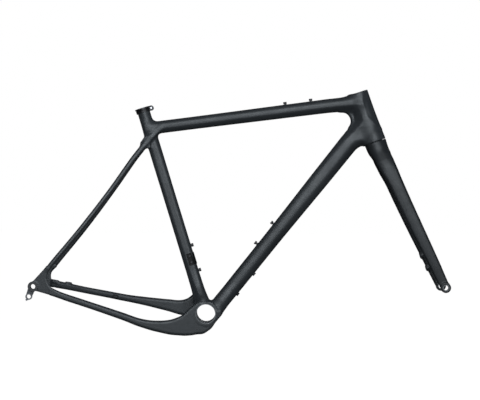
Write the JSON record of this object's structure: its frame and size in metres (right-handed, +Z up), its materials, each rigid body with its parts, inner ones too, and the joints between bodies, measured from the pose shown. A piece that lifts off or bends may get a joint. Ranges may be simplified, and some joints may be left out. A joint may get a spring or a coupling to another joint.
{
  "type": "bicycle frame",
  "caption": "Carbon gravel bicycle frame with dropped chainstays and disc fork that turns in a tapered headset; bottle bolts, derailleur hanger and seat collar.",
  "frame": {"origin": "centre of the bottom bracket bore", "axes": "+X forwards, +Y to the rider's left along the bottom bracket bore, +Z up with the axles level"},
  "size_m": [1.0371, 0.1692, 0.6094],
  "materials": {
    "carbon": "matte clear coat over carbon fibre",
    "fork_carbon": "matte clear coat over carbon fibre",
    "dark_alloy": "dark anodised",
    "silver_alloy": "grey anodised",
    "black_alloy": "black anodised",
    "black_steel": "black oxide",
    "bright_steel": "polished",
    "bearing_steel": "ground",
    "cover_plastic": "textured black",
    "cage_plastic": "moulded nylon",
    "rubber": "moulded"
  },
  "bodies": {
    "frame": {"head_tube": "carbon", "top_tube": "carbon", "down_tube": "carbon", "seat_tube": "carbon", "bottom_bracket_shell": "carbon", "chainstay_drive": "carbon", "chainstay_brake": "carbon", "seatstay_drive": "carbon", "seatstay_brake": "carbon", "seatstay_bridge": "carbon", "dropout_drive": "carbon", "dropout_brake": "carbon", "bottom_bracket_sleeve": "dark_alloy", "derailleur_hanger": "silver_alloy", "hanger_nut": "black_alloy", "rear_axle_insert": "black_alloy", "seat_clamp": "black_alloy", "seat_clamp_bolt": "bright_steel", "seat_clamp_nut": "black_alloy", "top_tube_inserts": "dark_alloy", "down_tube_inserts": "dark_alloy", "underside_inserts": "dark_alloy", "seat_tube_inserts": "dark_alloy", "top_tube_bolts": "black_steel", "down_tube_bolts": "black_steel", "underside_bolts": "black_steel", "seat_tube_bolts": "black_steel", "front_derailleur_cover": "cover_plastic", "cover_screws": "black_steel", "hose_grommet": "rubber", "rear_caliper_inserts": "dark_alloy", "upper_bearing_outer_race": "bearing_steel", "lower_bearing_outer_race": "bearing_steel", "upper_bearing_seal": "rubber", "lower_bearing_seal": "rubber"},
    "fork": {"fork_crown": "fork_carbon", "fork_blade_drive": "fork_carbon", "fork_blade_brake": "fork_carbon", "steerer_tube": "fork_carbon", "crown_race": "black_alloy", "compression_ring": "black_alloy", "upper_bearing_inner_race": "bearing_steel", "lower_bearing_inner_race": "bearing_steel", "fork_end_insert_drive": "dark_alloy", "fork_end_insert_brake": "dark_alloy", "fork_caliper_inserts": "dark_alloy"},
    "upper_ball_ring": {"upper_bearing_balls": "bearing_steel", "upper_bearing_cage": "cage_plastic"},
    "lower_ball_ring": {"lower_bearing_balls": "bearing_steel", "lower_bearing_cage": "cage_plastic"}
  },
  "joints": [
    {"name": "steering", "type": "hinge", "parent": "frame", "child": "fork", "pos_m": [0.41648, 0, 0.42488], "axis": [-0.3256, 0, 0.9455], "continuous": true},
    {"name": "upper_ball_ring_turn", "type": "hinge", "parent": "frame", "child": "upper_ball_ring", "pos_m": [0.37601, 0, 0.54241], "axis": [-0.3256, 0, 0.9455], "continuous": true},
    {"name": "lower_ball_ring_turn", "type": "hinge", "parent": "frame", "child": "lower_ball_ring", "pos_m": [0.41469, 0, 0.43008], "axis": [-0.3256, 0, 0.9455], "continuous": true}
  ],
  "couplings": [
    {"joint": "upper_ball_ring_turn", "follows": "steering", "ratio": 0.456},
    {"joint": "lower_ball_ring_turn", "follows": "steering", "ratio": 0.46}
  ]
}
